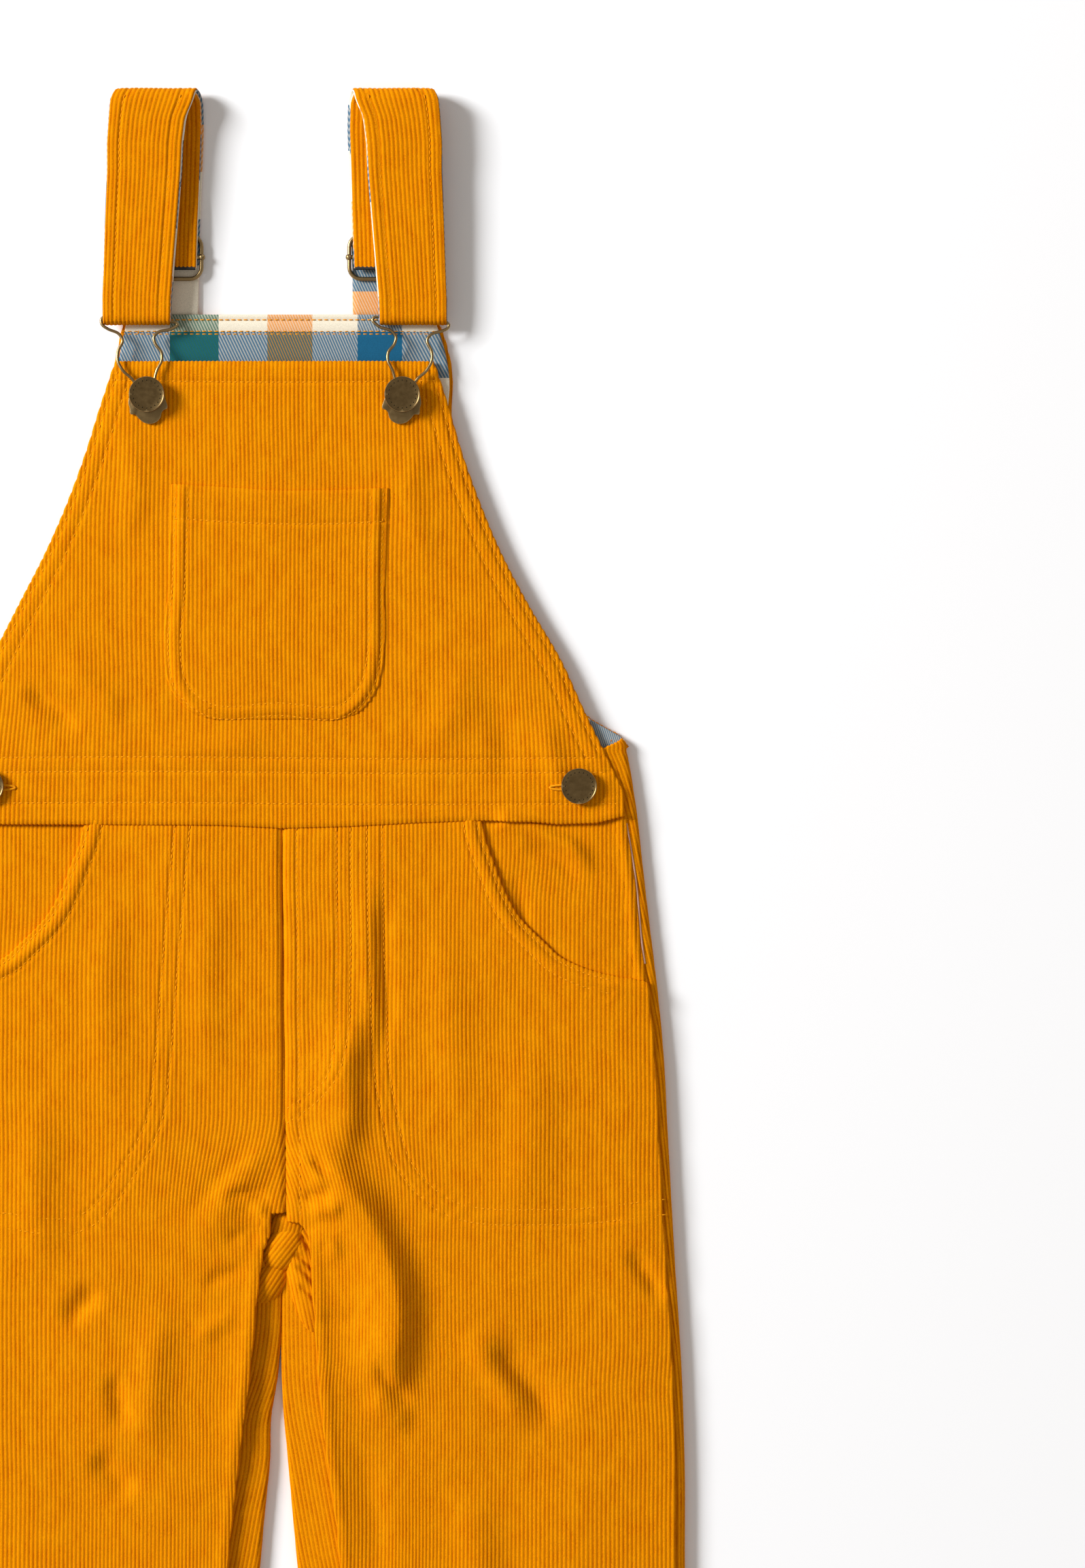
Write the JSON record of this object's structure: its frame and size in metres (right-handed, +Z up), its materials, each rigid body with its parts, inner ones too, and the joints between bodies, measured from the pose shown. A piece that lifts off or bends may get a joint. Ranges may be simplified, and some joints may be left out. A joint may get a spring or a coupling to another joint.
{
  "type": "kids dungarees",
  "caption": "Child's orange corduroy dungarees laid flat: bib with patch pocket, plaid facing, buckled shoulder straps, side buttons and scoop pockets.",
  "frame": {"origin": "under the middle of the garment as it lies flat, on the surface it rests on", "axes": "+Y from the hems to the shoulder straps, +X to the viewer's right across the front, +Z up out of the surface"},
  "size_m": [0.3826, 0.9367, 0.0128],
  "materials": {
    "orange_corduroy": "ribbed pile, matt with a soft sheen",
    "plaid_twill": "woven twill, matt",
    "antique_brass": "aged, satin"
  },
  "bodies": {
    "root": {"bib_front": "orange_corduroy", "bib_pocket": "orange_corduroy", "back_bib": "orange_corduroy", "back_facing": "plaid_twill", "leg_front_left": "orange_corduroy", "leg_back_left": "orange_corduroy", "pocket_yoke_left": "orange_corduroy", "strap_left": "orange_corduroy", "buckle_wire_left": "antique_brass", "buckle_plate_left": "antique_brass", "bib_button_left": "antique_brass", "side_button_left": "antique_brass", "slider_left": "antique_brass", "leg_front_right": "orange_corduroy", "leg_back_right": "orange_corduroy", "pocket_yoke_right": "orange_corduroy", "strap_right": "orange_corduroy", "buckle_wire_right": "antique_brass", "buckle_plate_right": "antique_brass", "bib_button_right": "antique_brass", "side_button_right": "antique_brass", "slider_right": "antique_brass"}
  },
  "joints": []
}
